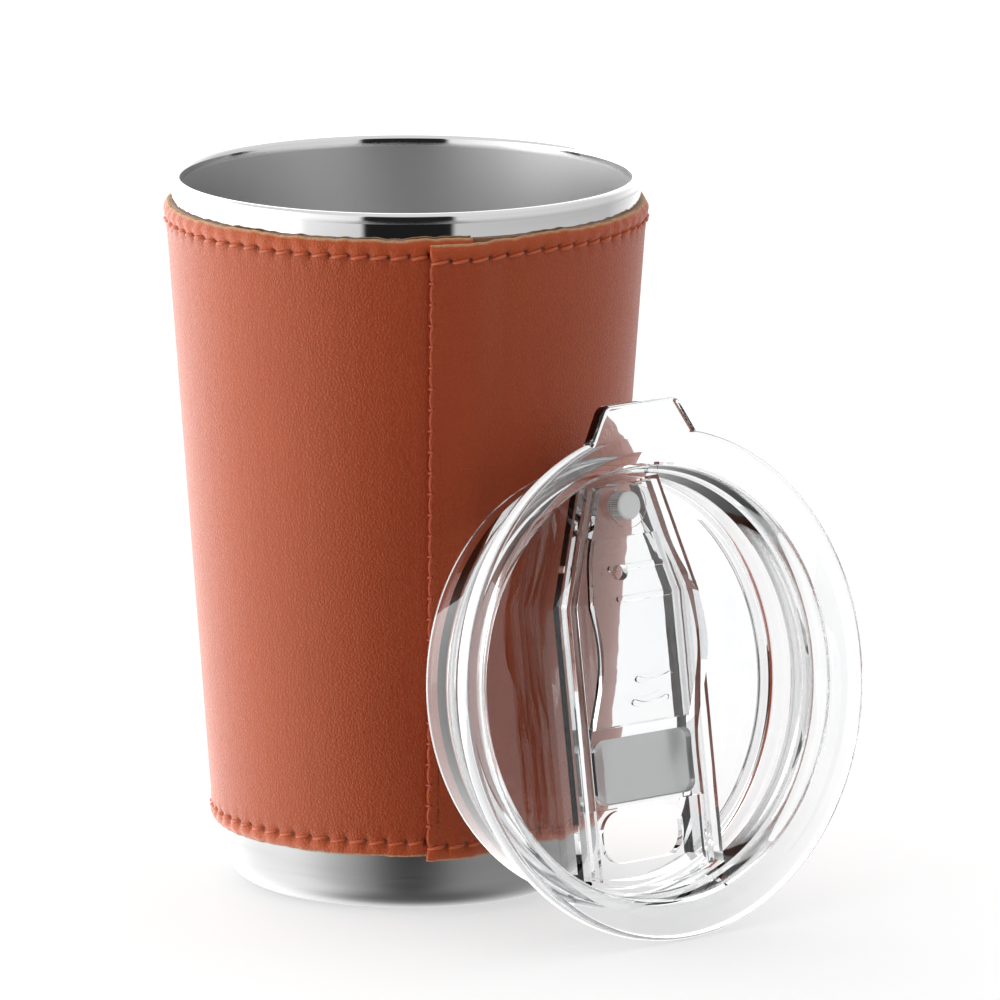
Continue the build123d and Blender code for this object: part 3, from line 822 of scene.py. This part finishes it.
def drum(radius, low, high, middle=0.0, sides=256):
    """Grid of an upright cylinder: a circle round a middle on the Y axis, as a prism."""
    angle = np.linspace(0, 2 * math.pi, sides, endpoint=False)
    circle = np.column_stack([radius * np.cos(angle), middle + radius * np.sin(angle)])
    return prism(circle, low, high)


def combined(mesh, operation, other):
    """The mesh joined with, cut by or kept inside another, by Blender's exact boolean."""
    objects = [bpy.data.objects.new("work", part) for part in (mesh, other)]
    for part in objects:
        bpy.context.scene.collection.objects.link(part)
    change = objects[0].modifiers.new("change", "BOOLEAN")
    change.operation, change.object, change.solver = operation, objects[1], "EXACT"
    graph = bpy.context.evaluated_depsgraph_get()
    made = bpy.data.meshes.new_from_object(objects[0].evaluated_get(graph))
    for part in objects:
        bpy.data.objects.remove(part)
    return made


def solid(grid):
    """Mesh of one grid of a prism."""
    return tube_mesh("work", grid[None])


def inside(plan, low, high, radius):
    """A prism on a plan, kept inside a round well."""
    kept = solid(drum(radius, low - past, high + past))
    return combined(solid(prism(plan, low, high)), "INTERSECT", kept)


def bevelled(grid, width):
    """A prism whose flat faces' rims are rounded over by a bevel of that width."""
    work = bpy.data.objects.new("work", solid(grid))
    bpy.context.scene.collection.objects.link(work)
    change = work.modifiers.new("rims", "BEVEL")
    change.width, change.segments, change.limit_method = width, 4, "ANGLE"
    change.angle_limit = math.radians(60)
    graph = bpy.context.evaluated_depsgraph_get()
    made = bpy.data.meshes.new_from_object(work.evaluated_get(graph))
    bpy.data.objects.remove(work)
    return made


tab_plan = rounded([(-tab_half - tab_flare, tab_root), (-tab_half, tab_tip), (tab_half, tab_tip),
                    (tab_half + tab_flare, tab_root)], {1: tab_round, 2: tab_round})
half_width, half_length = spout_width / 2, spout_length / 2
near, far = spout_place - half_length, spout_place + half_length
spout_plan = rounded(
    [(-half_width, near), (half_width, near), (half_width, far), (-half_width, far)],
    {corner: spout_round for corner in range(4)}, 12)
channel = solid(prism(bridge_plan(bridge_wall), deck, rail_under))
slot = solid(prism(bridge_plan(lip_inset), rail_under - overlap, bridge_top + past))
well_drum = solid(drum(channel_reach, deck - past, 0))
slideway = combined(combined(channel, "UNION", slot), "INTERSECT", well_drum)
far_below = -30
lid_mesh = tube_mesh("lid", turned_grid(lid_section, 320)[None], closed=True)
changes = [
    ("UNION", bevelled(prism(tab_plan, skin, flange_thickness - skin), tab_rim)),
    ("UNION", inside(bridge_plan(0), bridge_foot, bridge_top, well_reach)),
    ("DIFFERENCE", slideway),
    ("DIFFERENCE", inside(bridge_plan(bridge_wall), far_below, deck_under, hollow_reach)),
    ("DIFFERENCE", solid(prism(spout_plan, deck_under - past, deck + past))),
    ("DIFFERENCE", solid(drum(vent_radius, deck_under - past, deck + past, vent_place, 48))),
]
for operation, other in changes:
    lid_mesh = combined(lid_mesh, operation, other)
places = np.empty(len(lid_mesh.vertices) * 3)
lid_mesh.vertices.foreach_get("co", places)
lid_mesh.vertices.foreach_set("co", leaning(places.reshape(-1, 3)).ravel())
lid_mesh.shade_smooth()
lid_mesh.set_sharp_from_angle(angle=math.radians(28))
lid_mesh.update()
lid_look = clear_finish("clear_lid", (0.905, 0.92, 0.93, 1), 0.012, 0.00006)
lid = piece("lid_moulding", lid_mesh, lid_look, "lid")
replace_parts(lid, "lid_body")

# Gasket. A ring of clear silicone with two thin lips is stretched into the plug's groove. It
# looks softer than the lid, because its faces are matt.
gasket_squeeze, gasket_proud, gasket_gap, tip_round = 0.4, 0.15, 0.02, 0.15
inner_radius = groove_radius + gasket_gap
fin_radius = liner_radius(cup_height + gasket_middle) + gasket_squeeze
body_radius = plug_radius(gasket_middle) + gasket_proud
top, base = gasket_middle + gasket_height / 2, gasket_middle - gasket_height / 2
gasket_section = rounded(
    [(inner_radius, top), (body_radius, top), (fin_radius, top - 0.4 * fin),
     (fin_radius, top - 0.8 * fin), (body_radius, top - 1.4 * fin), (body_radius, base + 1.4 * fin),
     (fin_radius, base + 0.8 * fin), (fin_radius, base + 0.4 * fin), (body_radius, base),
     (inner_radius, base)], {corner: tip_round for corner in (2, 3, 6, 7)}, 4)
gasket_grid = leaning(turned_grid(gasket_section, 320))[None]
gasket_mesh = tube_mesh("gasket", gasket_grid, closed=True, sharp=50)
gasket_look = clear_finish("gasket_silicone", (0.90, 0.92, 0.92, 1), 0.16, 0.00003)
gasket = piece("gasket_ring", gasket_mesh, gasket_look, "lid")
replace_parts(gasket, "lid_gasket")

# Slider. It is moulded in the same clear plastic, and slides under the lips of the bridge's
# rails. The pad and the peg pressed into it are pale silicone, and the pad lets more light by.
dress("slider", clear_finish("clear_slider", (0.94, 0.955, 0.96, 1), 0.02, 0.00008))
for name, clearness in (("spout_seal", 0.75), ("vent_seal", 0.1)):
    dress(name, plain_material(
        name + "_silicone", [("Roughness", 0.55), ("Transmission Weight", clearness), ("IOR", 1.2)],
        (0.93, 0.95, 0.94, 1), (0.97, 0.98, 0.975, 1), 2500.0, 0.00002))
